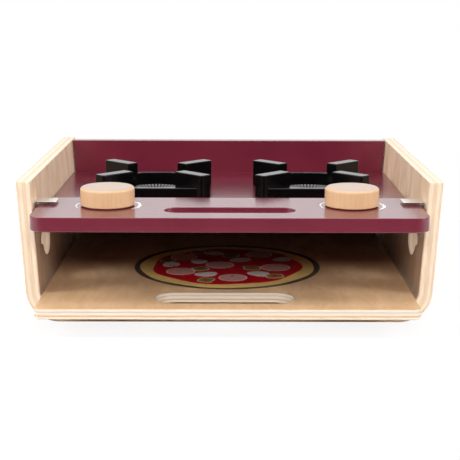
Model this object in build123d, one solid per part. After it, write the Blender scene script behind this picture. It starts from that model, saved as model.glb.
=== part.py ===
from build123d import *
from math import cos, radians, sin, tan
import os

# Toy table-top oven with a two-burner hob on its roof.
# Millimetres, +Z up, the open front faces -Y. The origin is under the middle of the whole
# toy, on the surface it stands on.

# ---- Driving dimensions -------------------------------------------------------------------

# Shell: one bent-plywood U, floor and both flaring sides in one piece
shell_width = 360.0          # outside, across the tops of the sides
shell_height = 122.0
shell_depth = 296.0
shell_ply = 12.0
side_flare = 3.3             # degrees that each side leans outwards
shell_corner = 28.0          # outside radius of the bend
shell_edge = 0.8             # sanded edge radius

# Cut-out in each side: an upside-down flame, placed from the front edge and the floor
flame_setback = 57.5
flame_height = 65.0

# Back panel
back_ply = 12.0
back_recess = 14.0           # from the shell's rear edge to the panel's rear face
panel_gap = 1.2              # fitting gap round a lacquered panel

# Hob panel
hob_top = 89.0
hob_ply = 9.0

# Front rail, which lies on the hob panel and carries the knobs
rail_ply = 12.0
rail_overhang = 48.7         # in front of the shell's front edge
rail_depth = 92.4
rail_side_gap = 3.1          # from each rail end to the shell's side
rail_corner = 13.0
rail_slot_length = 109.0
rail_slot_width = 23.4
rail_slot_margin = 22.8      # from the rail's front edge to the slot

# Pizza board, a loose tray that rides in the bends of the shell
board_ply = 8.5
board_rise = 5.2             # underside above the shell's floor, which sets the width
board_overhang = 51.6
board_rear_gap = 1.0         # from the pushed-in board to the back panel
board_shift = -1.5           # the board lies a little left of centre
board_corner = 6.0
board_side_round = 3.6       # radius along the lower long edges, which ride in the bends
board_seat_gap = 0.3         # between those edges and the bends
board_slot_length = 117.3
board_slot_width = 33.3
board_slot_margin = 19.4
board_slot_shift = -2.4      # the slot lies a little left of the board's middle

# Knobs
knob_diameter = 45.8
knob_height = 15.9
knob_spread = 207.2          # between the two knob axes
knob_setback = 54.9          # from the rail's front edge to the knob axis
knob_round = 2.6
knob_running_gap = 0.1       # between the turning stack and the rail's faces
felt_diameter = 18.0
felt_thickness = 0.5
knob_washer_radius = 4.4
knob_washer_thickness = 1.0
knob_clearance_radius = 5.1  # hole in the hob panel round the washer
running_clearance = 0.05     # radial, knob screw in the rail

# Pan supports
support_spread = 146.7       # between the two burner axes
support_shift = 3.0          # the pair sits a little right of centre
support_setback = 136.3      # from the shell's front edge to the burner axis
support_size = 99.0          # across the flats of the low ring
support_opening = 88.0       # diameter of the round well
support_ring_height = 12.8
support_height = 25.0
arm_width = 12.2
arm_inner = 33.8             # from the burner axis to an arm's inner end
arm_outer = 69.3
arm_end_round = 1.8          # upright edges at an arm's outer end
support_edge = 0.9

# Burner crowns: a ridged dish with a hub, on a flange
crown_flange_radius = 31.0
crown_flange_height = 1.2
crown_rim_radius = 29.0
crown_rim_height = 3.4       # from the hob panel to the dish's rim
crown_ridge_start = 20.0     # from here the ridges rise to the rim
crown_hub_radius = 14.0
crown_hub_height = 2.6
crown_ridges = 52
crown_groove_width = 1.8     # the grooves' floor is the flange

# Corner clips: bent steel angles over the ends of the rail
clip_plate = 1.5
clip_length = 19.5           # along Y
clip_setback = 7.0           # from the shell's front edge to the clip
clip_reach = 19.4            # over the rail, measured from the shell's side
clip_drop = 12.7             # down the side, inside the gap
clip_lift = 1.2              # between the plate and the rail
clip_bend = 2.6
clip_corner = 2.5            # plan radius at the plate's free end
clip_edge = 0.35             # rounding of the pressed strip's edges
clip_side_gap = 0.1
clip_screw_drop = 7.3        # from the clip's top down to its screws
clip_screw_spread = 11.0

# Screws: shank radius, head radius, head height, length
side_screw = (1.75, 3.6, 2.6, 34.0)
clip_screw = (1.3, 2.5, 1.3, 9.0)
rail_screw = (1.75, 3.5, 2.2, 18.0)
knob_screw = (2.0, 3.6, 2.4, 24.0)
support_screw = (1.5, 3.0, 2.0, 21.0)
crown_screw = (1.2, 2.4, 1.7, 10.6)
hole_clearance = 0.05
recess_width = 0.9
recess_reach = 0.6           # of the head's radius
recess_depth = 0.55          # of the head's height
pan_head_round = 0.4         # of the head's height

# Where the screws stand
hob_screw_front = 16.0       # from the hob panel's front edge
hob_screw_rear = 15.0        # from its rear edge
back_screw_low = 38.0        # above the ground
back_screw_drop = 18.0       # below the tops of the sides
floor_screw_spread = 170.0
rail_screw_inner = 58.0      # from the middle
rail_screw_margin = 22.0     # from the rail's end
rail_screw_setback = 29.0    # from the shell's front edge
support_screw_radius = 54.0

# ---- Worked out from them -----------------------------------------------------------------

overcut = 1.0                # how far a cutter runs past what it cuts
flare = radians(side_flare)
front_reach = max(board_overhang, rail_overhang)
total_depth = front_reach + shell_depth
shell_front = front_reach - total_depth / 2
shell_back = total_depth / 2
back_rear = shell_back - back_recess
back_front = back_rear - back_ply
hob_rear = back_front - panel_gap
hob_bottom = hob_top - hob_ply
rail_front = shell_front - rail_overhang
rail_top = hob_top + rail_ply
board_front = shell_front - board_overhang
board_bottom = shell_ply + board_rise


def side_x(z, inset=0.0):
    """Half width of the U at height z, on a surface moved inwards from its outside by inset."""
    return shell_width / 2 - (shell_height - z) * tan(flare) - inset / cos(flare)


rail_half = side_x(hob_top, shell_ply) - rail_side_gap

# The board's rounded lower edges lie inside the bends, whose centres are at this place.
bend_x = side_x(shell_corner, shell_corner)
seat_reach = shell_corner - shell_ply - board_side_round - board_seat_gap
seat_drop = shell_corner - (board_bottom + board_side_round)
board_width = 2 * (bend_x + (seat_reach ** 2 - seat_drop ** 2) ** 0.5 + board_side_round - abs(board_shift))


def u_block(inset, top, front, back):
    """The U's outline moved inwards by inset, filled up to the height top, from front to back."""
    low = side_x(inset, inset)
    high = side_x(top, inset)
    outline = make_face(Polyline((-high, top), (-low, inset), (low, inset), (high, top), close=True))
    outline = fillet(outline.vertices().sort_by(Axis.Y)[:2], shell_corner - inset)
    return extrude(Plane((0, back, 0), x_dir=(1, 0, 0), z_dir=(0, -1, 0)) * outline, back - front)


def slab(bottom, top, front, back):
    """A block wider than the toy, used to keep one level or one stretch of it."""
    return Pos(0, (front + back) / 2, (bottom + top) / 2) * Box(2 * shell_width, back - front, top - bottom)


def plate(width, front, back, bottom, thickness, corner):
    """A flat board with rounded plan corners, centred on X."""
    board = extrude(RectangleRounded(width, back - front, corner), thickness)
    return Pos(0, (front + back) / 2, bottom) * board


def finger_slot(length, width, front, bottom, thickness):
    """The cutter for a long hand slot with round ends, which starts at front."""
    cutter = extrude(SlotOverall(length, width), thickness / 2 + overcut, both=True)
    return Pos(0, front + width / 2, bottom + thickness / 2) * cutter


# ---- Screws -------------------------------------------------------------------------------

def cross_recess(head, head_height):
    """The cutter for a cross-head driver, centred on the outer face of a head."""
    blade = Box(2 * recess_reach * head, recess_width, 2 * recess_depth * head_height)
    return blade + Rot(0, 0, 90) * blade


def countersunk_screw(size, grow=0.0):
    """Flush head at z = 0 and the point towards +Z; grow turns it into its own hole."""
    shank, head, head_height, length = size
    body = Pos(0, 0, head_height / 2) * Cone(head + grow, shank + grow, head_height)
    body += Pos(0, 0, length / 2) * Cylinder(shank + grow, length + 2 * grow)
    return body if grow else body - cross_recess(head, head_height)


def pan_screw(size, grow=0.0):
    """Head from z = -head height to 0 and the point towards +Z; grow makes its shank's hole."""
    shank, head, head_height, length = size
    body = Pos(0, 0, length / 2) * Cylinder(shank + grow, length + 2 * grow)
    if grow:
        return body
    cap = Pos(0, 0, -head_height / 2) * Cylinder(head, head_height)
    cap = fillet(cap.edges().group_by(Axis.Z)[0], pan_head_round * head_height)
    return body + cap - Pos(0, 0, -head_height) * cross_recess(head, head_height)


def side_places(setbacks, heights):
    """Planes on both outer side faces, pointing square into the ply."""
    planes = []
    for hand in (-1, 1):
        inward = (-hand * cos(flare), 0, sin(flare))
        for setback in setbacks:
            for height in heights:
                planes.append(Plane((hand * side_x(height), setback, height), z_dir=inward))
    return planes


# A side screw starts low enough for its middle to lie in the hob panel's middle.
side_screw_length = side_screw[3]
hob_screw_height = (hob_bottom + hob_top) / 2 - side_screw_length / 2 * sin(flare)
first_screw = shell_front + hob_screw_front
last_screw = hob_rear - hob_screw_rear
hob_screw_planes = side_places([first_screw, (first_screw + last_screw) / 2, last_screw], [hob_screw_height])

back_middle = (back_front + back_rear) / 2
back_screw_planes = side_places([back_middle], [back_screw_low, shell_height - back_screw_drop])
back_screw_planes += [Plane((hand * floor_screw_spread / 2, back_middle, 0), z_dir=(0, 0, 1))
                      for hand in (-1, 1)]

rail_screw_planes = [Plane((hand * x, shell_front + rail_screw_setback, hob_bottom), z_dir=(0, 0, 1))
                     for hand in (-1, 1) for x in (rail_screw_inner, rail_half - rail_screw_margin)]

burner_y = shell_front + support_setback
burner_x = {"left": support_shift - support_spread / 2, "right": support_shift + support_spread / 2}
arm_angles = (45, 135, 225, 315)
knob_y = rail_front + knob_setback
knob_x = {"left": -knob_spread / 2, "right": knob_spread / 2}
knob_shank = knob_screw[0]


def support_screw_planes(side):
    """Under the hob panel, one below each arm."""
    reach = support_screw_radius
    return [Plane((burner_x[side] + reach * cos(radians(turn)), burner_y + reach * sin(radians(turn)),
                   hob_bottom), z_dir=(0, 0, 1)) for turn in arm_angles]


def crown_screw_plane(side):
    return Plane((burner_x[side], burner_y, hob_bottom), z_dir=(0, 0, 1))


# ---- Clips --------------------------------------------------------------------------------

def clip_planes(hand):
    """Screw places on the clip's upright leg, pointing out into the side."""
    inset = shell_ply + clip_side_gap + clip_plate
    height = rail_top + clip_lift + clip_plate - clip_screw_drop
    middle = shell_front + clip_setback + clip_length / 2
    outward = (hand * cos(flare), 0, -sin(flare))
    return [Plane((hand * side_x(height, inset), middle + end * clip_screw_spread / 2, height),
                  z_dir=outward) for end in (-1, 1)]


def corner_clip():
    """Right-hand clip: a flat leg over the rail and an upright leg against the side."""
    outer = shell_ply + clip_side_gap
    inner = outer + clip_plate
    top = rail_top + clip_lift + clip_plate
    low = top - clip_drop
    tongue = side_x(top, shell_ply) - clip_reach
    under = top - clip_plate
    section = make_face(Polyline((side_x(top, outer), top), (side_x(low, outer), low),
                                 (side_x(low, inner), low), (side_x(under, inner), under),
                                 (tongue, under), (tongue, top), close=True))
    outside_bend = section.vertices().sort_by_distance((side_x(top, outer), top, 0))[0]
    section = fillet(outside_bend, clip_bend)
    inside_bend = section.vertices().sort_by_distance((side_x(under, inner), under, 0))[0]
    section = fillet(inside_bend, clip_bend - clip_plate)
    rear = shell_front + clip_setback + clip_length
    clip = extrude(Plane((0, rear, 0), x_dir=(1, 0, 0), z_dir=(0, -1, 0)) * section, clip_length)
    clip = fillet(clip.edges().filter_by(Axis.Z).group_by(Axis.X)[0], clip_corner)
    outlines = clip.faces().sort_by(Axis.Y)[0].edges() + clip.faces().sort_by(Axis.Y)[-1].edges()
    seams = outlines.filter_by(Axis.Z)
    clip = fillet([edge for edge in outlines if edge not in seams], clip_edge)
    for place in clip_planes(1):
        clip -= place * countersunk_screw(clip_screw, hole_clearance)
    return clip


# ---- Pieces -------------------------------------------------------------------------------

def flame_cutter():
    """An upside-down flame with one side tongue, cut through both sides at once."""
    tip, tongue_tip, notch = (-4.0, -17.6), (-28.3, -3.2), (-20.0, -5.0)
    flank = Spline(notch, (-16.8, -10.8), (-11.0, -15.4), tip)
    bowl = Spline(tip, (8.5, -16.2), (16.8, -9.8), (19.6, -1.0), (15.0, 8.0), (3.0, 12.0),
                  (-10.5, 10.6), (-20.5, 6.6), (-27.0, 2.4), tongue_tip)
    under = Line(tongue_tip, notch)
    outline = Pos(shell_front + flame_setback, flame_height) * make_face(Curve() + [flank, bowl, under])
    return extrude(Plane.YZ * outline, shell_width, both=True)


def make_shell():
    shell = u_block(0.0, shell_height, shell_front, shell_back)
    shell -= u_block(shell_ply, shell_height + overcut, shell_front - overcut, shell_back + overcut)
    rims = shell.edges().group_by(Axis.Y)
    shell = fillet(rims[0] + rims[-1], shell_edge)
    shell -= flame_cutter()
    for place in hob_screw_planes + back_screw_planes:
        shell -= place * countersunk_screw(side_screw, hole_clearance)
    for hand in (-1, 1):
        for place in clip_planes(hand):
            shell -= place * countersunk_screw(clip_screw, hole_clearance)
    return shell


def make_back_panel():
    panel = u_block(shell_ply + panel_gap, shell_height, back_front, back_rear)
    panel = fillet(panel.edges().group_by(Axis.Z)[-1], shell_edge)
    for place in back_screw_planes:
        panel -= place * countersunk_screw(side_screw, hole_clearance)
    return panel


def make_hob_panel():
    panel = u_block(shell_ply + panel_gap, shell_height, shell_front, hob_rear)
    panel &= slab(hob_bottom, hob_top, shell_front, hob_rear)
    for place in hob_screw_planes:
        panel -= place * countersunk_screw(side_screw, hole_clearance)
    for place in rail_screw_planes:
        panel -= place * pan_screw(rail_screw, hole_clearance)
    for side in ("left", "right"):
        panel -= Pos(knob_x[side], knob_y, hob_top) * Cylinder(knob_clearance_radius, 3 * hob_ply)
        for place in support_screw_planes(side):
            panel -= place * pan_screw(support_screw, hole_clearance)
        panel -= crown_screw_plane(side) * pan_screw(crown_screw, hole_clearance)
    return panel


def make_front_rail():
    rail = plate(2 * rail_half, rail_front, rail_front + rail_depth, hob_top, rail_ply, rail_corner)
    rail -= finger_slot(rail_slot_length, rail_slot_width, rail_front + rail_slot_margin, hob_top, rail_ply)
    rims = rail.edges().group_by(Axis.Z)
    rail = fillet(rims[0] + rims[-1], shell_edge)
    for side in ("left", "right"):
        bore = Cylinder(knob_shank + running_clearance, 3 * rail_ply)
        rail -= Pos(knob_x[side], knob_y, hob_top) * bore
    for place in rail_screw_planes:
        rail -= place * pan_screw(rail_screw, hole_clearance)
    return rail


def make_pizza_board():
    rear = back_front - board_rear_gap
    board = plate(board_width, board_front, rear, board_bottom, board_ply, board_corner)
    board -= Pos(board_slot_shift, 0, 0) * finger_slot(
        board_slot_length, board_slot_width, board_front + board_slot_margin, board_bottom, board_ply)
    board = fillet(board.edges().group_by(Axis.Z)[-1], shell_edge)
    section = Pos(0, board_bottom + board_ply / 2) * Rectangle(board_width, board_ply)
    section = fillet(section.vertices().sort_by(Axis.Y)[:2], board_side_round)
    board &= extrude(Plane((0, rear, 0), x_dir=(1, 0, 0), z_dir=(0, -1, 0)) * section, rear - board_front)
    return Pos(board_shift, 0, 0) * board


def make_pan_support(side):
    across = Rot(0, 0, 45) * Rectangle(2 * arm_outer, 2 * arm_outer)
    ring = extrude((Rectangle(support_size, support_size) & across) - Circle(support_opening / 2),
                   support_ring_height)
    ring = fillet(ring.edges().group_by(Axis.Z)[-1], support_edge)
    bar = Box(arm_outer - arm_inner, arm_width, support_height, align=(Align.MIN, Align.CENTER, Align.MIN))
    bar = fillet(bar.edges().filter_by(Axis.Z).group_by(Axis.X)[-1], arm_end_round)
    bar = fillet(bar.edges().group_by(Axis.Z)[-1], support_edge)
    support = ring
    for turn in arm_angles:
        support += Rot(0, 0, turn) * Pos(arm_inner, 0, 0) * bar
    support = Pos(burner_x[side], burner_y, hob_top) * support
    for place in support_screw_planes(side):
        support -= place * pan_screw(support_screw, hole_clearance)
    return support


def make_burner_crown(side):
    section = Polyline((0, 0), (crown_flange_radius, 0), (crown_flange_radius, crown_flange_height),
                       (crown_rim_radius, crown_flange_height), (crown_rim_radius, crown_rim_height),
                       (crown_ridge_start, crown_flange_height), (crown_hub_radius, crown_flange_height),
                       (crown_hub_radius, crown_hub_height), (0, crown_hub_height), close=True)
    crown = revolve(Plane.XZ * make_face(section), Axis.Z)
    groove = Pos(crown_ridge_start - crown_groove_width, 0, crown_flange_height) * Box(
        crown_rim_radius, crown_groove_width, crown_rim_height, align=(Align.MIN, Align.CENTER, Align.MIN))
    crown -= [Rot(0, 0, 360 / crown_ridges * number) * groove for number in range(crown_ridges)]
    crown = Pos(burner_x[side], burner_y, hob_top) * crown
    return crown - crown_screw_plane(side) * pan_screw(crown_screw, hole_clearance)


# Levels of the turning stack, from the screw's head up to the knob
washer_top = hob_top - knob_running_gap
screw_seat = washer_top - knob_washer_thickness
felt_bottom = rail_top + knob_running_gap
knob_bottom = felt_bottom + felt_thickness


def ring_washer(side, outer, bottom, thickness):
    ring = Cylinder(outer, thickness) - Cylinder(knob_shank + hole_clearance, 2 * thickness)
    return Pos(knob_x[side], knob_y, bottom + thickness / 2) * ring


def make_knob(side):
    knob = Cylinder(knob_diameter / 2, knob_height, align=(Align.CENTER, Align.CENTER, Align.MIN))
    knob = fillet(knob.edges().group_by(Axis.Z)[-1], knob_round)
    knob = chamfer(knob.edges().group_by(Axis.Z)[0], shell_edge)
    knob = Pos(knob_x[side], knob_y, knob_bottom) * knob
    return knob - Plane((knob_x[side], knob_y, screw_seat)) * pan_screw(knob_screw, hole_clearance)


# ---- Output -------------------------------------------------------------------------------

pieces = {
    "shell": make_shell(),
    "back_panel": make_back_panel(),
    "hob_panel": make_hob_panel(),
    "front_rail": make_front_rail(),
    "pizza_board": make_pizza_board(),
    "hob_side_screws": [place * countersunk_screw(side_screw) for place in hob_screw_planes],
    "back_panel_screws": [place * countersunk_screw(side_screw) for place in back_screw_planes],
    "rail_screws": [place * pan_screw(rail_screw) for place in rail_screw_planes],
    "pan_support_screws": [place * pan_screw(support_screw) for side in burner_x
                           for place in support_screw_planes(side)],
    "burner_crown_screws": [crown_screw_plane(side) * pan_screw(crown_screw) for side in burner_x],
    "clip_screws": [place * countersunk_screw(clip_screw) for hand in (-1, 1) for place in clip_planes(hand)],
    "clip_right": corner_clip(),
}
pieces["clip_left"] = mirror(pieces["clip_right"], Plane.YZ)
for side in ("left", "right"):
    pieces["pan_support_" + side] = make_pan_support(side)
    pieces["burner_crown_" + side] = make_burner_crown(side)
    pieces["knob_" + side] = make_knob(side)
    pieces["knob_felt_" + side] = ring_washer(side, felt_diameter / 2, felt_bottom, felt_thickness)
    pieces["knob_washer_" + side] = ring_washer(side, knob_washer_radius, screw_seat, knob_washer_thickness)
    pieces["knob_screw_" + side] = Plane((knob_x[side], knob_y, screw_seat)) * pan_screw(knob_screw)

os.makedirs("parts", exist_ok=True)
for name, piece in pieces.items():
    if isinstance(piece, list):
        piece = Compound(children=[solid for group in piece for solid in group.solids()])
    export_step(piece, os.path.join("parts", name + ".step"))
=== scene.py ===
import math
import random

import bmesh
import bpy
from mathutils import Matrix, Vector


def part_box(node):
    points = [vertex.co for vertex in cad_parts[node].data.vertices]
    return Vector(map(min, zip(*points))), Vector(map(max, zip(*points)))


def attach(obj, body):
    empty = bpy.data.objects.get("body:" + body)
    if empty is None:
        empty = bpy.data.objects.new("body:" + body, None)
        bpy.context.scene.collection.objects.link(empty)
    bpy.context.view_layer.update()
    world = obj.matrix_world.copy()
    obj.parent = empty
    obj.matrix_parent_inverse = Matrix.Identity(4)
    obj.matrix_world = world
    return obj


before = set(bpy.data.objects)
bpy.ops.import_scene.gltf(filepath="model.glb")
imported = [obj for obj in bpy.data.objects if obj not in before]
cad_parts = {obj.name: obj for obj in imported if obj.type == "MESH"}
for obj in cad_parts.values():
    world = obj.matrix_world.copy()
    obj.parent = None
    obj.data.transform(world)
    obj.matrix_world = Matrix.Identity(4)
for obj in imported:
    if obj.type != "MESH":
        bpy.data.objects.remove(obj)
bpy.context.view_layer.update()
mm = 0.001

# ---- Camera -------------------------------------------------------------------------------
# A 90 mm lens on a 36 mm frame, a little under a metre in front of the toy and looking down
# on the hob at about twelve degrees, with the tripod's small turn and tilt.
camera_place = Vector((-3.5 * mm, -1076.4 * mm, 281.7 * mm))
camera_pitch = math.radians(11.875)
camera_turn = math.radians(0.228)
camera_tilt = math.radians(0.176)

ahead = Vector((math.sin(camera_turn) * math.cos(camera_pitch),
                math.cos(camera_turn) * math.cos(camera_pitch), -math.sin(camera_pitch)))
level_right = Vector((math.cos(camera_turn), -math.sin(camera_turn), 0))
level_up = level_right.cross(ahead)
right = level_right * math.cos(camera_tilt) + level_up * math.sin(camera_tilt)
up = right.cross(ahead)
camera_data = bpy.data.cameras.new("camera")
camera_data.lens = 90
camera_data.sensor_width = 36
camera = bpy.data.objects.new("camera", camera_data)
camera.matrix_world = Matrix.Translation(camera_place) @ Matrix((right, up, -ahead)).transposed().to_4x4()
bpy.context.scene.collection.objects.link(camera)
bpy.context.scene.camera = camera
bpy.context.scene.view_settings.view_transform = "Standard"


# ---- Floor, background and lamps ----------------------------------------------------------
# A white card on a table under a white background. A small softbox hangs over the rail, a wide
# one glances over the toy from the back and one stands at each side. A fill in front, kept out
# of reflections, shines into the oven.

def linear(hex_colour):
    """A colour written as sRGB hex, as the linear RGBA that sockets hold."""
    parts = [int(hex_colour[place:place + 2], 16) / 255 for place in (1, 3, 5)]
    return [part / 12.92 if part <= 0.04045 else ((part + 0.055) / 1.055) ** 2.4 for part in parts] + [1.0]


def add(tree, kind, inputs, stops=(), **settings):
    """Adds one node. An input is a value, a socket, or a node whose first output in use feeds
    it, and stops are the (place, hex colour) pairs of a colour ramp."""
    made = tree.nodes.new(kind)
    for name, value in settings.items():
        setattr(made, name, value)
    for name, value in inputs.items():
        if isinstance(value, bpy.types.Node):
            value = next(output for output in value.outputs if output.enabled)
        if isinstance(value, bpy.types.NodeSocket):
            tree.links.new(value, made.inputs[name])
        else:
            made.inputs[name].default_value = value
    for number, (place, colour) in enumerate(stops):
        if number == len(made.color_ramp.elements):
            made.color_ramp.elements.new(1.0)
        made.color_ramp.elements[number].position = place
        made.color_ramp.elements[number].color = linear(colour)
    return made


def material(name):
    """A new empty material: the material and its node tree."""
    made = bpy.data.materials.new(name)
    made.use_nodes = True
    made.node_tree.nodes.clear()
    return made, made.node_tree


sky_light, floor_bounce = 0.22, 0.4
dark_studio, backdrop = 0.06, 1.2
world = bpy.data.worlds.new("studio")
world.use_nodes = True
world.node_tree.nodes.clear()
bpy.context.scene.world = world
tree = world.node_tree
direction = add(tree, "ShaderNodeTexCoord", {}).outputs["Generated"]
# Surfaces are lit by a dim sky, and from below by the card.
height = add(tree, "ShaderNodeSeparateXYZ", {0: direction}).outputs["Z"]
fill = add(tree, "ShaderNodeMapRange", {"Value": height, "From Min": -0.03, "From Max": 0.03,
                                        "To Min": floor_bounce, "To Max": sky_light})
ambient = add(tree, "ShaderNodeBackground", {"Color": linear("#ffffff"), "Strength": fill})
# Reflections see a white backdrop and ceiling, and the dark of the studio low in front. The
# camera sees plain white.
back_or_up = add(tree, "ShaderNodeVectorMath", {0: direction, 1: (0, 0.8, 1)}, operation="DOT_PRODUCT")
walls = add(tree, "ShaderNodeMapRange", {"Value": back_or_up, "From Min": 0.0, "From Max": 0.5,
                                         "To Min": dark_studio, "To Max": backdrop})
studio = add(tree, "ShaderNodeBackground", {"Color": linear("#ffffff"), "Strength": walls})
white = add(tree, "ShaderNodeBackground", {"Color": linear("#ffffff"), "Strength": 1.0})
ray = add(tree, "ShaderNodeLightPath", {})
mirrored = add(tree, "ShaderNodeMath", {0: ray.outputs["Is Glossy Ray"],
                                        1: ray.outputs["Is Transmission Ray"]},
               operation="ADD", use_clamp=True)
sky = add(tree, "ShaderNodeMixShader", {0: mirrored, 1: ambient, 2: studio})
sky = add(tree, "ShaderNodeMixShader", {0: ray.outputs["Is Camera Ray"], 1: sky, 2: white})
add(tree, "ShaderNodeOutputWorld", {"Surface": sky})

card_front, card_back, card_half = -0.46, 2.2, 2.4      # its edges and half its width, in metres
floor_form = bmesh.new()
bmesh.ops.create_grid(floor_form, x_segments=1, y_segments=1, size=1.0)
bmesh.ops.scale(floor_form, vec=(card_half, (card_back - card_front) / 2, 1), verts=floor_form.verts)
bmesh.ops.translate(floor_form, vec=(0, (card_back + card_front) / 2, 0), verts=floor_form.verts)
floor_mesh = bpy.data.meshes.new("floor")
floor_form.to_mesh(floor_mesh)
floor_form.free()
floor = bpy.data.objects.new("floor", floor_mesh)
bpy.context.scene.collection.objects.link(floor)
# Matt white card: the camera sees it as nearly white close to the toy, where the shadow lies,
# and as pure white further out.
shadow_reach, white_reach, glow_near = 0.2, 0.45, 0.88
card, tree = material("white_card")
reach = add(tree, "ShaderNodeVectorMath", {0: add(tree, "ShaderNodeTexCoord", {}).outputs["Object"]},
            operation="LENGTH")
glow = add(tree, "ShaderNodeMapRange", {"Value": reach, "From Min": shadow_reach, "From Max": white_reach,
                                        "To Min": glow_near, "To Max": 1.0}, interpolation_type="SMOOTHSTEP")
seen = add(tree, "ShaderNodeLightPath", {}).outputs["Is Camera Ray"]
share = add(tree, "ShaderNodeMath", {0: glow, 1: seen}, operation="MULTIPLY")
paper = add(tree, "ShaderNodeBsdfDiffuse", {"Color": linear("#f4f4f4")})
light = add(tree, "ShaderNodeEmission", {"Color": linear("#ffffff"), "Strength": 1.0})
look = add(tree, "ShaderNodeMixShader", {0: share, 1: paper, 2: light})
add(tree, "ShaderNodeOutputMaterial", {"Surface": look})
floor_mesh.materials.append(card)

# Each lamp's place and size in metres, and its power in watts
lamps = {
    "softbox_overhead": ((0.0, -0.6, 1.3), (0.6, 0.4), 5.0),
    "softbox_back": ((0.0, 1.25, 0.98), (1.6, 0.3), 5.0),
    "softbox_left": ((-1.55, -0.45, 1.15), (0.8, 0.8), 25.0),
    "softbox_right": ((1.55, -0.45, 1.15), (0.8, 0.8), 21.5),
    "front_fill": ((0.0, -1.55, 0.75), (0.7, 0.3), 16.5),
}
toy_middle = Vector((0, 0, 0.06))
for name, (place, size, power) in lamps.items():
    lamp = bpy.data.lights.new(name, "AREA")
    lamp.shape = "RECTANGLE"
    lamp.size, lamp.size_y = size
    lamp.energy = power
    holder = bpy.data.objects.new(name, lamp)
    turn = (toy_middle - Vector(place)).to_track_quat("-Z", "Y").to_matrix().to_4x4()
    holder.matrix_world = Matrix.Translation(place) @ turn
    holder.visible_camera = False
    holder.visible_glossy = name != "front_fill"
    bpy.context.scene.collection.objects.link(holder)


# ---- Bent plywood body --------------------------------------------------------------------
# The floor and both sides are one U of five birch veneers, glued and pressed round a former.
# The flames are routed out, every cut edge is sanded round, and the whole is lacquered matt.
shell_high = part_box("shell")[1]
ply_thickness = 12 * mm
bend_radius = 28 * mm
side_lean = math.radians(3.3)
bend_x = (shell_high.x - (shell_high.z - bend_radius) * math.tan(side_lean)
          - bend_radius / math.cos(side_lean))
SHARE, UNDER, OVER = 0, 6, 7              # a Mix node's sockets when it mixes colours


def birch_face(tree, across, along, tones, streaks, figure_width):
    """Rotary-cut birch: pale and close-grained, with broad soft flames and fine fibre streaks.
    across and along are metres across and along the grain, tones run from dark to pale, and
    streaks is how much the fibres show. Gives its colour and its height."""
    figure_length = 3 * figure_width
    # Birch fibres are finer than 0.1 mm and wouldn't show, so they are drawn 0.7 mm wide.
    fibre_width = 0.7 * mm
    fibre_length = 22 * fibre_width
    grain = add(tree, "ShaderNodeCombineXYZ", {"X": across, "Y": along})
    flow = add(tree, "ShaderNodeMapping", {"Vector": grain,
                                           "Scale": (1 / figure_width, 1 / figure_length, 1)})
    flames = add(tree, "ShaderNodeTexNoise", {"Vector": flow, "Scale": 1.0, "Detail": 3.0, "Roughness": 0.55,
                                              "Distortion": 0.8})
    flow = add(tree, "ShaderNodeMapping", {"Vector": grain, "Scale": (1 / fibre_width, 1 / fibre_length, 1)})
    fibres = add(tree, "ShaderNodeTexNoise", {"Vector": flow, "Scale": 1.0, "Detail": 2.0, "Roughness": 0.6})
    tone = add(tree, "ShaderNodeValToRGB", {"Fac": flames}, stops=zip((0.3, 0.5, 0.72), tones))
    streak = add(tree, "ShaderNodeValToRGB", {"Fac": fibres}, stops=[(0.35, "#efe4d6"), (0.6, "#ffffff")])
    colour = add(tree, "ShaderNodeMix", {SHARE: streaks, UNDER: tone, OVER: streak}, data_type="RGBA",
                 blend_type="MULTIPLY")
    return colour, fibres


def ply_edge(tree, depth, run, other, veneers):
    """The cut edge of plywood: its veneers as stops over depth (0 to 1), each with faint streaks
    that follow the veneer."""
    # The cut fibres are drawn 0.35 mm wide on the body and 0.25 mm on the thinner board, several
    # times the real width, so that they show.
    streak_width = 0.35 * mm
    streak_length = 40 * streak_width
    grain = add(tree, "ShaderNodeCombineXYZ", {"X": depth, "Y": run, "Z": other})
    flow = add(tree, "ShaderNodeMapping", {
        "Vector": grain, "Scale": (ply_thickness / streak_width, 1 / streak_length, 1 / streak_length)})
    streaks = add(tree, "ShaderNodeTexNoise", {"Vector": flow, "Scale": 1.0, "Detail": 2.0,
                                               "Roughness": 0.55})
    layers = add(tree, "ShaderNodeValToRGB", {"Fac": depth}, stops=veneers)
    streak = add(tree, "ShaderNodeValToRGB", {"Fac": streaks}, stops=[(0.3, "#ecdcc8"), (0.6, "#ffffff")])
    return add(tree, "ShaderNodeMix", {SHARE: 0.8, UNDER: layers, OVER: streak}, data_type="RGBA",
               blend_type="MULTIPLY")


def face_or_edge(tree, depth, edge, face, face_start):
    """Shows the face veneer at the plywood's two surfaces, and the cut edge between them. In
    shares of the thickness from its middle, the face begins at face_start and is full at 0.49."""
    from_middle = add(tree, "ShaderNodeMath", {0: depth, 1: 0.5}, operation="SUBTRACT")
    from_middle = add(tree, "ShaderNodeMath", {0: from_middle}, operation="ABSOLUTE")
    on_face = add(tree, "ShaderNodeMapRange", {"Value": from_middle, "From Min": face_start,
                                               "From Max": 0.49})
    return add(tree, "ShaderNodeMix", {SHARE: on_face, UNDER: edge, OVER: face}, data_type="RGBA")


def finish_wood(tree, colour, height, roughness, relief):
    """Wood under a thin clear lacquer or oil: relief is the depth of the grain that still shows."""
    bump = add(tree, "ShaderNodeBump", {"Height": height, "Distance": relief, "Strength": 1.0})
    look = add(tree, "ShaderNodeBsdfPrincipled", {"Base Color": colour, "Roughness": roughness, "IOR": 1.5,
                                                  "Normal": bump})
    add(tree, "ShaderNodeOutputMaterial", {"Surface": look})


def paint(node, look):
    """Gives a CAD node its material."""
    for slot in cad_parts[node].material_slots:
        slot.material = look


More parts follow.
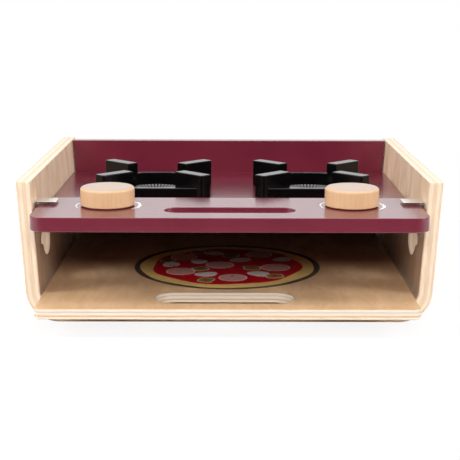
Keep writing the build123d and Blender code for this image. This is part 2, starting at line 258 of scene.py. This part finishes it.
# Bent birch plywood under matt lacquer: cream faces with a soft figure, and edges striped by
# the veneers, which follow the bend. depth runs from 0 at the outside to 1 at the inside.
outer_veneer, cream_veneer, middle_veneer = "#d8bfa4", "#e2d1bd", "#d8c0a4"
shell_veneers = [(0.0, outer_veneer), (0.15, outer_veneer), (0.18, cream_veneer), (0.36, cream_veneer),
                 (0.40, middle_veneer), (0.66, middle_veneer), (0.70, cream_veneer), (0.88, cream_veneer),
                 (0.91, outer_veneer), (1.0, outer_veneer)]
shell_birch, tree = material("bent_birch_plywood")
seat = add(tree, "ShaderNodeTexCoord", {}).outputs["Object"]
place = add(tree, "ShaderNodeSeparateXYZ", {0: seat})
# Seen from the bend's middle, with left and right folded together and the length left out
half = add(tree, "ShaderNodeVectorMath", {0: seat}, operation="ABSOLUTE")
half = add(tree, "ShaderNodeVectorMath", {0: half, 1: (bend_x, 0, bend_radius)}, operation="SUBTRACT")
spot = add(tree, "ShaderNodeVectorMath", {0: half, 1: (1, 0, 1)}, operation="MULTIPLY")
sideways = add(tree, "ShaderNodeVectorMath", {0: spot, 1: (1, 0, 0)}, operation="DOT_PRODUCT")
downward = add(tree, "ShaderNodeVectorMath", {0: spot, 1: (0, 0, -1)}, operation="DOT_PRODUCT")
outward = add(tree, "ShaderNodeVectorMath", {0: spot, 1: (math.cos(side_lean), 0, -math.sin(side_lean))},
              operation="DOT_PRODUCT")
upward = add(tree, "ShaderNodeVectorMath", {0: spot, 1: (math.sin(side_lean), 0, math.cos(side_lean))},
             operation="DOT_PRODUCT")
# The flat floor and sides lie outward or downward of it, and the bend is round about it.
past_floor = add(tree, "ShaderNodeMath", {0: sideways, 1: 0.0}, operation="GREATER_THAN")
under_side = add(tree, "ShaderNodeMath", {0: upward, 1: 0.0}, operation="LESS_THAN")
in_bend = add(tree, "ShaderNodeMath", {0: past_floor, 1: under_side}, operation="MULTIPLY")
radius = add(tree, "ShaderNodeVectorMath", {0: spot}, operation="LENGTH")
round_reach = add(tree, "ShaderNodeMath", {0: in_bend, 1: radius}, operation="MULTIPLY")
flat_reach = add(tree, "ShaderNodeMath", {0: outward, 1: downward}, operation="MAXIMUM")
reach = add(tree, "ShaderNodeMath", {0: flat_reach, 1: round_reach}, operation="MAXIMUM")
inset = add(tree, "ShaderNodeMath", {0: bend_radius, 1: reach}, operation="SUBTRACT")
depth = add(tree, "ShaderNodeMath", {0: inset, 1: ply_thickness}, operation="DIVIDE")
# The grain runs across the floor and on up each side.
climb = add(tree, "ShaderNodeMath", {0: place.outputs["Z"], 1: inset}, operation="SUBTRACT")
hand = add(tree, "ShaderNodeMath", {0: place.outputs["X"]}, operation="SIGN")
run = add(tree, "ShaderNodeMath", {0: hand, 1: climb, 2: place.outputs["X"]}, operation="MULTIPLY_ADD")
edge = ply_edge(tree, depth, run, place.outputs["Y"], shell_veneers)
face, fibres = birch_face(tree, place.outputs["Y"], run, ("#dbb995", "#e6caac", "#efd9c2"), 0.12, 22 * mm)
finish_wood(tree, face_or_edge(tree, depth, edge, face, 0.475), fibres, 0.42, 0.02 * mm)
paint("shell", shell_birch)


# ---- Lacquered panels ---------------------------------------------------------------------
# The hob, the back and the front rail are birch plywood, sprayed with maroon lacquer. The hob
# and the back are screwed between the sides, and the rail is screwed down on the hob.

# Semi-gloss lacquer: deep wine red with soft reflections, a tone that drifts a little, and the
# wood's grain showing through as a faint ripple along X. The real ripple, under 1 mm wide, is
# too fine to show, so it is drawn 4 mm wide.
drift_width = 45 * mm
ripple_length, ripple_width, ripple_height = 70 * mm, 4 * mm, 3 * mm
lacquer, tree = material("maroon_lacquer")
seat = add(tree, "ShaderNodeTexCoord", {}).outputs["Object"]
grain = add(tree, "ShaderNodeMapping", {
    "Vector": seat, "Scale": (1 / ripple_length, 1 / ripple_width, 1 / ripple_height)})
ripple = add(tree, "ShaderNodeTexNoise", {"Vector": grain, "Scale": 1.0, "Detail": 2.0})
bump = add(tree, "ShaderNodeBump", {"Height": ripple, "Distance": 0.12 * mm, "Strength": 1.0})
cloud = add(tree, "ShaderNodeTexNoise", {"Vector": seat, "Scale": 1 / drift_width, "Detail": 3.0})
tone = add(tree, "ShaderNodeValToRGB", {"Fac": cloud}, stops=[(0.3, "#611e2e"), (0.7, "#692230")])
look = add(tree, "ShaderNodeBsdfPrincipled", {"Base Color": tone, "Roughness": 0.22, "IOR": 1.42,
                                              "Normal": bump, "Coat Weight": 0.3,
                                              "Coat Roughness": 0.14, "Coat IOR": 1.5})
add(tree, "ShaderNodeOutputMaterial", {"Surface": look})
for panel in ("hob_panel", "back_panel", "front_rail"):
    paint(panel, lacquer)


# ---- Pizza board --------------------------------------------------------------------------
# A loose flat board of birch plywood with a routed hand slot. Its long lower edges are rounded
# to ride in the bends of the body, and it is sanded and clear-lacquered.

# Flat birch plywood under clear lacquer: a tan face with its fibres showing, and pale edges
# striped by seven veneers. The face is painted shade: it is the body's birch, made darker and
# more orange for the shade and warm bounced light inside the oven.
board_low, board_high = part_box("pizza_board")
face_veneer = "#c3a582"
board_veneers = [(0.0, face_veneer), (0.03, face_veneer), (0.05, "#d0c8ba"), (0.20, "#d2c9bd"),
                 (0.24, "#c4a17a"), (0.38, "#c7a784"), (0.41, "#d0c7b7"), (0.62, "#d3c9bd"),
                 (0.65, "#b9aea4"), (0.74, "#beb4ac"), (0.77, "#d0c7b9"), (0.95, "#d2c9bd"),
                 (0.965, face_veneer), (1.0, face_veneer)]
board_birch_painted_shade, tree = material("flat_birch_plywood_painted_shade")
place = add(tree, "ShaderNodeSeparateXYZ", {0: add(tree, "ShaderNodeTexCoord", {}).outputs["Object"]})
depth = add(tree, "ShaderNodeMapRange", {"Value": place.outputs["Z"], "From Min": board_low.z,
                                         "From Max": board_high.z})
edge = ply_edge(tree, depth, place.outputs["X"], place.outputs["Y"], board_veneers)
# The face tones are painted shade: the body's birch, darker and more orange as if in the oven's shade.
face, fibres = birch_face(tree, place.outputs["X"], place.outputs["Y"], ("#caa47b", "#d3ae86", "#dcb992"),
                          0.4, 11 * mm)
finish_wood(tree, face_or_edge(tree, depth, edge, face, 0.48), fibres, 0.4, 0.02 * mm)
paint("pizza_board", board_birch_painted_shade)


# ---- Pizza print --------------------------------------------------------------------------
# Screen-printed inks on the board, each laid over the one before: the pan's rim, the crust, the
# sauce, and then cheese, salami, pepper rings and herbs, most of them with a pale outline.
ink_layer = 0.04 * mm
pizza_middle = Vector((-1.8 * mm, -23 * mm, board_high.z))
# The print's radii, and its places from the pizza's middle, in millimetres
pan_radius, crust_radius, sauce_radii = 87, 81.6, (70, 69)
herb_reach, herb_long_radii, herb_short_radius = 64, (1.3, 2.2), 0.9
outline_width = 0.9
inks = {"pan_grey": "#4a3e34", "crust_yellow": "#eecb7c", "sauce_red": "#c20a1e", "outline_white": "#f6efe4",
        "salami_pink": "#d6a096", "cheese_white": "#e9e2d8", "pepper_green": "#76842a"}
ink_order = list(inks)
pizza_form = bmesh.new()


def print_patch(middle, size, ink, level, turn=0.0, waves=0, ripple=0.0):
    """A closed patch of ink with a rippled rim. Its middle is measured from the pizza's, size is
    its two radii, and level is its height above the board in layers of ink."""
    rim = bmesh.ops.create_circle(pizza_form, cap_ends=True, segments=64, radius=1.0)["verts"]
    place = (Matrix.Translation(pizza_middle + Vector((middle[0] * mm, middle[1] * mm, level * ink_layer)))
             @ Matrix.Rotation(math.radians(turn), 4, "Z"))
    for vert in rim:
        reach = 1 + ripple * math.sin(waves * math.atan2(vert.co.y, vert.co.x))
        vert.co = place @ Vector((vert.co.x * size[0] * reach * mm, vert.co.y * size[1] * reach * mm, 0))
    face = rim[0].link_faces[0]
    face.material_index = ink_order.index(ink)
    raised = bmesh.ops.extrude_face_region(pizza_form, geom=[face])["geom"]
    bmesh.ops.translate(pizza_form, vec=(0, 0, ink_layer),
                        verts=[part for part in raised if isinstance(part, bmesh.types.BMVert)])


def topping(middle, size, ink, level, turn=0.0, waves=0, ripple=0.0):
    """A patch of ink with its pale outline under it."""
    outline = (size[0] + outline_width, size[1] + outline_width)
    print_patch(middle, outline, "outline_white", level, turn, waves, ripple)
    print_patch(middle, size, ink, level + 1, turn, waves, ripple)


print_patch((0, 0), (pan_radius, pan_radius), "pan_grey", 0)
print_patch((0, 0), (crust_radius, crust_radius), "crust_yellow", 1, 10, 9, 0.006)
print_patch((0, 0), sauce_radii, "sauce_red", 2, 35, 7, 0.022)
cheese_rounds = ((-19, -33, 10, 7.5, 20), (29, -31, 10.5, 8, 140), (-53, 5, 9, 7, 75), (13, 24, 10, 8, 30),
                 (-13, 52, 9.5, 7, 160), (53, 27, 9, 7.5, 50), (-27, 17, 8.5, 7, 110))
for x, y, long_side, short_side, turn in cheese_rounds:
    topping((x, y), (long_side, short_side), "cheese_white", 3, turn, 3, 0.05)
salami_rounds = ((-43, -23, 12.5), (5, -46, 12), (45, -7, 13), (-7, 3, 12.5), (-42, 35, 12), (31, 47, 12.5))
for x, y, radius in salami_rounds:
    topping((x, y), (radius, radius), "salami_pink", 5, 3 * x, 11, 0.012)
pepper_rings = ((23, -9, 8.5), (-19, -55, 7.5), (43, -40, 8), (-57, 20, 7), (4, 41, 8), (-29, 56, 7),
                (-25, -13, 7.5))
for x, y, radius in pepper_rings:
    topping((x, y), (radius, radius * 0.9), "pepper_green", 7, 5 * x, 4, 0.08)
    print_patch((x, y), (radius * 0.4, radius * 0.36), "sauce_red", 9, 5 * x, 4, 0.1)
sprinkle = random.Random(11)
for herb in range(26):
    angle, reach = sprinkle.uniform(0, 2 * math.pi), herb_reach * math.sqrt(sprinkle.uniform(0.05, 1))
    size = (sprinkle.uniform(*herb_long_radii), herb_short_radius)
    print_patch((reach * math.cos(angle), reach * math.sin(angle)), size, "pepper_green", 10,
                sprinkle.uniform(0, 180))
bmesh.ops.recalc_face_normals(pizza_form, faces=pizza_form.faces)


def finished(name, form, body, looks):
    """Turns a bmesh into a piece that rides on a body."""
    mesh = bpy.data.meshes.new(name)
    form.to_mesh(mesh)
    form.free()
    for look in looks:
        mesh.materials.append(look)
    piece = bpy.data.objects.new(name, mesh)
    bpy.context.scene.collection.objects.link(piece)
    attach(piece, body)


def ink_look(name, colour):
    """Screen ink: an even, matt film that lies a little thinner here and there, over 3 mm."""
    made, tree = material(name)
    film = add(tree, "ShaderNodeTexNoise", {"Vector": add(tree, "ShaderNodeTexCoord", {}).outputs["Object"],
                                            "Scale": 1 / (3 * mm), "Detail": 3.0})
    thin = add(tree, "ShaderNodeValToRGB", {"Fac": film}, stops=[(0.3, "#e9e9e9"), (0.6, "#ffffff")])
    tone = add(tree, "ShaderNodeMix", {SHARE: 1.0, UNDER: linear(colour), OVER: thin}, data_type="RGBA",
               blend_type="MULTIPLY")
    look = add(tree, "ShaderNodeBsdfPrincipled", {"Base Color": tone, "Roughness": 0.45, "IOR": 1.5})
    add(tree, "ShaderNodeOutputMaterial", {"Surface": look})
    return made


finished("pizza_print", pizza_form, "board",
         [ink_look(name, colour) for name, colour in inks.items()])


# ---- Pan supports and burner crowns -------------------------------------------------------
# Each pan support is one moulding, a square ring with four arms, and a ridged crown stands in
# its well. Both are injection-moulded ABS, screwed to the hob from below.

# Glossy ABS from a polished mould: deep black with sharp highlights. All that its skin shows
# is the moulding's slow flow lines, 6 mm apart.
black_abs, tree = material("glossy_black_abs")
flow = add(tree, "ShaderNodeTexNoise", {"Vector": add(tree, "ShaderNodeTexCoord", {}).outputs["Object"],
                                        "Scale": 1 / (6 * mm), "Detail": 2.0})
bump = add(tree, "ShaderNodeBump", {"Height": flow, "Distance": 0.01 * mm, "Strength": 1.0})
tone = add(tree, "ShaderNodeValToRGB", {"Fac": flow}, stops=[(0.3, "#070606"), (0.7, "#0a0909")])
look = add(tree, "ShaderNodeBsdfPrincipled", {"Base Color": tone, "Roughness": 0.18, "IOR": 1.33,
                                              "Normal": bump})
add(tree, "ShaderNodeOutputMaterial", {"Surface": look})
for side in ("left", "right"):
    paint("pan_support_" + side, black_abs)
    paint("burner_crown_" + side, black_abs)


# ---- Knobs --------------------------------------------------------------------------------
# Two discs turned from beech dowel, so the grain runs up the rim and the top is end grain.
# Each turns on a screw from below, over a felt washer that gives it some drag.

# Turned beech, lightly oiled: a warm tan rim with upright fibres and a duller end-grain top,
# whose grey cast is painted sheen. The fibres are finer than 0.1 mm and wouldn't show, so they
# are drawn 0.9 mm wide.
fibre_width, fibre_length = 0.9 * mm, 20 * mm
beech, tree = material("turned_beech")
seat = add(tree, "ShaderNodeTexCoord", {}).outputs["Object"]
grain = add(tree, "ShaderNodeMapping", {
    "Vector": seat, "Scale": (1 / fibre_width, 1 / fibre_width, 1 / fibre_length)})
fibres = add(tree, "ShaderNodeTexNoise", {"Vector": grain, "Scale": 1.0, "Detail": 3.0, "Roughness": 0.6})
side_tone = add(tree, "ShaderNodeValToRGB", {"Fac": fibres},
                stops=[(0.3, "#cfa57b"), (0.5, "#d3ac84"), (0.7, "#d7b38d")])
# The top's tone is end grain, and its grey cast is painted sheen from light glancing off the top.
end_grain_and_sheen_tone = add(tree, "ShaderNodeValToRGB", {"Fac": fibres}, stops=[(0.3, "#a99484"), (0.7, "#b29e8f")])
knob_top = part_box("knob_left")[1].z
height = add(tree, "ShaderNodeSeparateXYZ", {0: seat}).outputs["Z"]
end_grain = add(tree, "ShaderNodeMapRange", {"Value": height, "From Min": knob_top - 1.2 * mm,
                                             "From Max": knob_top - 0.1 * mm})
tone = add(tree, "ShaderNodeMix", {SHARE: end_grain, UNDER: side_tone, OVER: end_grain_and_sheen_tone}, data_type="RGBA")
finish_wood(tree, tone, fibres, 0.5, 0.01 * mm)

# Pressed wool felt, quite without shine. Its near-black is partly painted shade: it gives the
# dark line of shadow in the gap under each knob. Its fuzz is drawn 0.4 mm across, because the
# wool itself, some 0.03 mm, is too fine to show.
felt, tree = material("dark_felt_and_gap_shade")
fuzz = add(tree, "ShaderNodeTexNoise", {"Vector": add(tree, "ShaderNodeTexCoord", {}).outputs["Object"],
                                        "Scale": 1 / (0.4 * mm), "Detail": 3.0})
bump = add(tree, "ShaderNodeBump", {"Height": fuzz, "Distance": 0.1 * mm, "Strength": 1.0})
tone = add(tree, "ShaderNodeValToRGB", {"Fac": fuzz}, stops=[(0.3, "#1c1a1a"), (0.7, "#2e2a2a")])
look = add(tree, "ShaderNodeBsdfPrincipled", {"Base Color": tone, "Roughness": 0.95, "Normal": bump})
add(tree, "ShaderNodeOutputMaterial", {"Surface": look})
for side in ("left", "right"):
    paint("knob_" + side, beech)
    paint("knob_felt_" + side, felt)


# ---- Dial marks ---------------------------------------------------------------------------
# Each knob stands in a crescent, screen-printed in white ink on the rail's lacquer. It swells
# from a fine line at one end to a broad, pointed one at the other.
mark_start, mark_sweep = math.radians(-35), math.radians(243)
mark_inner, mark_fine, mark_broad = 26.3 * mm, 0.6 * mm, 2.8 * mm
mark_tip = 0.07                           # the share of the sweep in which it comes to a point
mark_steps = 72
rail_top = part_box("front_rail")[1].z
white_ink = ink_look("white_screen_ink", "#f2f0ec")
for side in ("left", "right"):
    knob_low, knob_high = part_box("knob_" + side)
    middle = (knob_low + knob_high) / 2
    form = bmesh.new()
    ends = [form.verts.new((mark_inner + reach, 0, 0)) for reach in (0.0, mark_broad)]
    bmesh.ops.spin(form, geom=ends + [form.edges.new(ends)], cent=(0, 0, 0), axis=(0, 0, 1),
                   angle=mark_sweep, steps=mark_steps, use_merge=False)
    for vert in form.verts:
        share = (math.atan2(vert.co.y, vert.co.x) % (2 * math.pi)) / mark_sweep
        if vert.co.xy.length > mark_inner + mark_broad / 2:
            point = min(1.0, share / mark_tip)
            width = mark_fine + (mark_broad - mark_fine) * (1 - share) * point
            vert.co = vert.co.normalized() * (mark_inner + width)
    raised = bmesh.ops.extrude_face_region(form, geom=list(form.faces))["geom"]
    bmesh.ops.translate(form, vec=(0, 0, ink_layer), verts=[part for part in raised
                                                            if isinstance(part, bmesh.types.BMVert)])
    bmesh.ops.rotate(form, cent=(0, 0, 0), matrix=Matrix.Rotation(mark_start, 3, "Z"), verts=form.verts)
    bmesh.ops.translate(form, vec=(middle.x, middle.y, rail_top), verts=form.verts)
    bmesh.ops.recalc_face_normals(form, faces=form.faces)
    finished("dial_mark_" + side, form, "oven", [white_ink])


# ---- Corner clips and screws --------------------------------------------------------------
# The clips are angles pressed from steel strip and nickel plated, which hold the rail's ends
# to the sides. The screws and the knobs' washers are zinc-plated steel.

def plated(name, colour, roughness, scratch_width):
    """Bright plating on steel, with the fine scratches of barrel finishing, which blur its
    reflections unevenly."""
    made, tree = material(name)
    seat = add(tree, "ShaderNodeTexCoord", {}).outputs["Object"]
    scratches = add(tree, "ShaderNodeTexNoise", {"Vector": seat, "Scale": 1 / scratch_width, "Detail": 3.0})
    bump = add(tree, "ShaderNodeBump", {"Height": scratches, "Distance": 0.01 * mm, "Strength": 1.0})
    rough = add(tree, "ShaderNodeMapRange", {"Value": scratches, "To Min": roughness * 0.7,
                                             "To Max": roughness * 1.4})
    look = add(tree, "ShaderNodeBsdfPrincipled", {"Base Color": linear(colour), "Metallic": 1.0,
                                                  "Roughness": rough, "Normal": bump})
    add(tree, "ShaderNodeOutputMaterial", {"Surface": look})
    return made


# Nickel is warm and nearly mirror-bright, zinc bluer and duller. Their scratches, really some
# 0.05 mm wide, are drawn 0.8 and 0.4 mm wide so that they show.
nickel = plated("nickel_plate", "#d3cfc6", 0.16, 0.8 * mm)
zinc = plated("zinc_plate", "#b9bcbe", 0.3, 0.4 * mm)
for side in ("left", "right"):
    paint("clip_" + side, nickel)
    paint("knob_washer_" + side, zinc)
    paint("knob_screw_" + side, zinc)
for screws in ("clip", "rail", "pan_support", "burner_crown", "hob_side", "back_panel"):
    paint(screws + "_screws", zinc)
